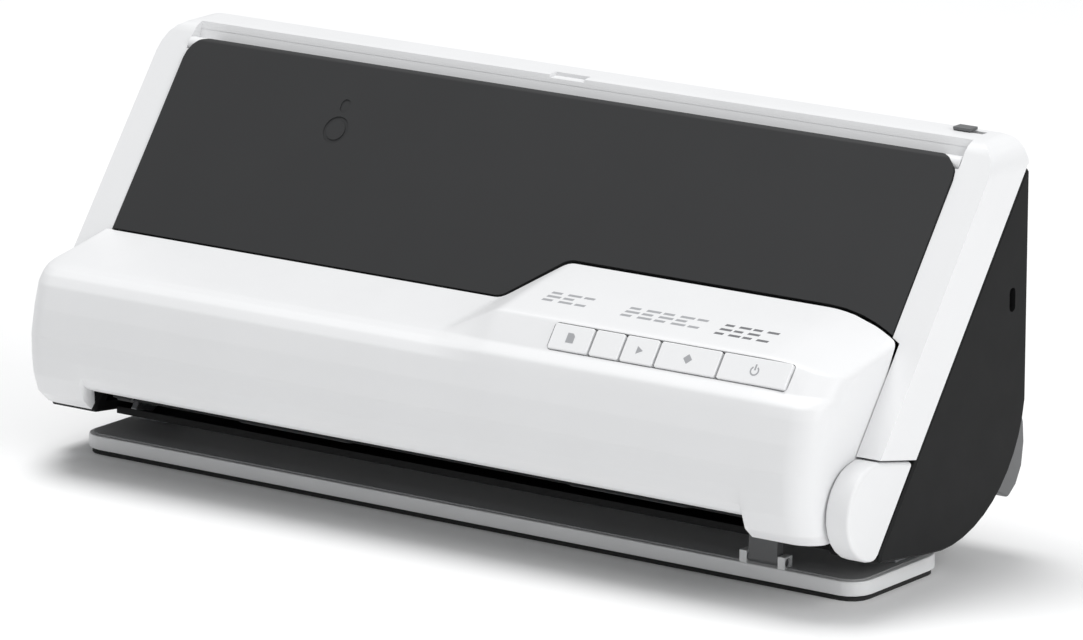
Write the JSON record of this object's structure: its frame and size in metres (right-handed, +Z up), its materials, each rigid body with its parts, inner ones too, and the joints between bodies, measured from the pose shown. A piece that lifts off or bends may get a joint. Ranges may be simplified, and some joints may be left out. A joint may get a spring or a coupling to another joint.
{
  "type": "sheet fed document scanner",
  "caption": "Compact sheet fed document scanner: white front cover with keys, slanted dark tray cover and a body that leans back on a low stand.",
  "frame": {"origin": "middle of the overall footprint, on the desk", "axes": "+X along the feed width towards the user's right, -Y towards the user, +Z up"},
  "size_m": [0.298, 0.102, 0.1232],
  "materials": {
    "white_shell": "fine satin texture",
    "dark_shell": "fine matt texture",
    "tray_grey": "fine matt texture",
    "stand_grey": "satin",
    "key_white": "satin",
    "lever_grey": "satin",
    "inner_black": "matt",
    "gear_black": "filled acetal",
    "board": "solder mask",
    "base_rubber": "matt",
    "roller_rubber": "ground matt",
    "steel": "zinc plated",
    "sensor_glass": "polished"
  },
  "bodies": {
    "stand": {"stand_plate": "stand_grey", "rubber_base_ring": "base_rubber", "tilt_bracket_left": "steel", "tilt_bracket_right": "steel", "tilt_pin_left": "steel", "tilt_pin_right": "steel"},
    "position_lever": {"position_lever": "lever_grey"},
    "scanner_body": {"rear_housing": "dark_shell", "side_panel_left": "dark_shell", "side_panel_right": "dark_shell", "upper_frame": "white_shell", "hinge_cap_left": "white_shell", "hinge_cap_right": "white_shell", "rear_rest_bar": "lever_grey", "side_frame_left": "steel", "side_frame_right": "steel", "paper_support": "inner_black", "rear_guide_plate": "inner_black", "rear_sensor_bar": "inner_black", "rear_sensor_glass": "sensor_glass", "drive_motor": "steel", "main_board": "board", "power_inlet": "inner_black", "usb_port": "steel"},
    "front_cover_unit": {"front_cover": "white_shell", "cover_inner_guide": "inner_black", "front_sensor_bar": "inner_black", "front_sensor_glass": "sensor_glass", "panel_board": "board"},
    "separation_roller": {"separation_roller": "roller_rubber"},
    "upper_pinch_roller": {"upper_pinch_roller": "roller_rubber"},
    "lower_pinch_roller": {"lower_pinch_roller": "roller_rubber"},
    "tray": {"tray_cover": "tray_grey"},
    "tray_extension": {"tray_extension": "tray_grey"},
    "edge_guide_right": {"edge_guide_right": "lever_grey"},
    "edge_guide_left": {"edge_guide_left": "lever_grey"},
    "guide_pinion": {"guide_pinion": "gear_black"},
    "feed_rollers": {"feed_shaft": "steel", "feed_roller_left": "roller_rubber", "feed_roller_right": "roller_rubber", "feed_gear": "gear_black"},
    "transport_rollers": {"transport_shaft": "steel", "transport_roller_left": "roller_rubber", "transport_roller_right": "roller_rubber", "transport_gear": "gear_black"},
    "eject_rollers": {"eject_shaft": "steel", "eject_roller_left": "roller_rubber", "eject_roller_right": "roller_rubber", "eject_gear": "gear_black"},
    "upper_idler": {"upper_idler_gear": "gear_black"},
    "lower_idler": {"lower_idler_gear": "gear_black"},
    "motor_pinion": {"motor_pinion": "gear_black"},
    "release_slider": {"cover_release_slider": "lever_grey"},
    "button_1": {"panel_button_1": "key_white"},
    "button_2": {"panel_button_2": "key_white"},
    "button_3": {"panel_button_3": "key_white"},
    "button_4": {"panel_button_4": "key_white"},
    "button_5": {"panel_button_5": "key_white"}
  },
  "joints": [
    {"name": "body_lean", "type": "hinge", "parent": "stand", "child": "scanner_body", "pos_m": [0, 0.00555, 0.052], "axis": [-1, 0, 0], "range_deg": [0, 20]},
    {"name": "position_lever_turn", "type": "hinge", "parent": "stand", "child": "position_lever", "pos_m": [0.1073, -0.02225, 0.0076], "axis": [1, 0, 0], "range_deg": [0, 30]},
    {"name": "front_cover_open", "type": "hinge", "parent": "scanner_body", "child": "front_cover_unit", "pos_m": [0, -0.02895, 0.029], "axis": [1, 0, 0], "range_deg": [0, 45]},
    {"name": "tray_open", "type": "hinge", "parent": "scanner_body", "child": "tray", "pos_m": [0, 0.02907, 0.11572], "axis": [-1, 0, 0], "range_deg": [0, 168]},
    {"name": "extension_slide", "type": "slide", "parent": "tray", "child": "tray_extension", "axis": [0, -0.5961, -0.8029], "range_m": [0, 0.0381]},
    {"name": "right_guide_slide", "type": "slide", "parent": "scanner_body", "child": "edge_guide_right", "axis": [-1, 0, 0], "range_m": [0, 0.075]},
    {"name": "left_guide_slide", "type": "slide", "parent": "scanner_body", "child": "edge_guide_left", "axis": [1, 0, 0], "range_m": [0, 0.075]},
    {"name": "guide_pinion_turn", "type": "hinge", "parent": "scanner_body", "child": "guide_pinion", "pos_m": [0, 0.01362, 0.07614], "axis": [0, 0.8768, -0.4808], "range_deg": [0, 790]},
    {"name": "transport_turn", "type": "hinge", "parent": "scanner_body", "child": "transport_rollers", "pos_m": [0, -0.00736, 0.04015], "axis": [1, 0, 0], "continuous": true},
    {"name": "feed_turn", "type": "hinge", "parent": "scanner_body", "child": "feed_rollers", "pos_m": [0, 0.00278, 0.0513], "axis": [1, 0, 0], "continuous": true},
    {"name": "eject_turn", "type": "hinge", "parent": "scanner_body", "child": "eject_rollers", "pos_m": [0, -0.02048, 0.02248], "axis": [1, 0, 0], "continuous": true},
    {"name": "upper_idler_turn", "type": "hinge", "parent": "scanner_body", "child": "upper_idler", "pos_m": [-0.1238, 0.00389, 0.03834], "axis": [1, 0, 0], "continuous": true},
    {"name": "lower_idler_turn", "type": "hinge", "parent": "scanner_body", "child": "lower_idler", "pos_m": [-0.1238, -0.01392, 0.03131], "axis": [1, 0, 0], "continuous": true},
    {"name": "motor_turn", "type": "hinge", "parent": "scanner_body", "child": "motor_pinion", "pos_m": [-0.1238, 0.01329, 0.03727], "axis": [1, 0, 0], "continuous": true},
    {"name": "separation_turn", "type": "hinge", "parent": "front_cover_unit", "child": "separation_roller", "pos_m": [0, -0.00773, 0.05785], "axis": [1, 0, 0], "continuous": true},
    {"name": "upper_pinch_turn", "type": "hinge", "parent": "front_cover_unit", "child": "upper_pinch_roller", "pos_m": [0, -0.01459, 0.04551], "axis": [1, 0, 0], "continuous": true},
    {"name": "lower_pinch_turn", "type": "hinge", "parent": "front_cover_unit", "child": "lower_pinch_roller", "pos_m": [0, -0.0277, 0.02785], "axis": [1, 0, 0], "continuous": true},
    {"name": "release_slide", "type": "slide", "parent": "scanner_body", "child": "release_slider", "axis": [1, 0, 0], "range_m": [0, 0.004], "stiffness_N_per_m": 100},
    {"name": "button_1_press", "type": "slide", "parent": "front_cover_unit", "child": "button_1", "axis": [0, 0.8029, -0.5961], "range_m": [0, 0.0007], "stiffness_N_per_m": 500},
    {"name": "button_2_press", "type": "slide", "parent": "front_cover_unit", "child": "button_2", "axis": [0, 0.8029, -0.5961], "range_m": [0, 0.0007], "stiffness_N_per_m": 500},
    {"name": "button_3_press", "type": "slide", "parent": "front_cover_unit", "child": "button_3", "axis": [0, 0.8029, -0.5961], "range_m": [0, 0.0007], "stiffness_N_per_m": 500},
    {"name": "button_4_press", "type": "slide", "parent": "front_cover_unit", "child": "button_4", "axis": [0, 0.8029, -0.5961], "range_m": [0, 0.0007], "stiffness_N_per_m": 500},
    {"name": "button_5_press", "type": "slide", "parent": "front_cover_unit", "child": "button_5", "axis": [0, 0.8029, -0.5961], "range_m": [0, 0.0007], "stiffness_N_per_m": 500}
  ],
  "couplings": [
    {"joint": "extension_slide", "follows": "tray_open", "m_per_rad": 0.01296},
    {"joint": "left_guide_slide", "follows": "right_guide_slide", "ratio": 1},
    {"joint": "guide_pinion_turn", "follows": "right_guide_slide", "rad_per_m": 181.8},
    {"joint": "feed_turn", "follows": "transport_turn", "ratio": 0.77143},
    {"joint": "eject_turn", "follows": "transport_turn", "ratio": 1},
    {"joint": "upper_idler_turn", "follows": "transport_turn", "ratio": -0.9},
    {"joint": "lower_idler_turn", "follows": "transport_turn", "ratio": -0.96429},
    {"joint": "motor_turn", "follows": "transport_turn", "ratio": 1.5652},
    {"joint": "separation_turn", "follows": "transport_turn", "ratio": -0.91169},
    {"joint": "upper_pinch_turn", "follows": "transport_turn", "ratio": -1.3889},
    {"joint": "lower_pinch_turn", "follows": "transport_turn", "ratio": -1.3889}
  ]
}
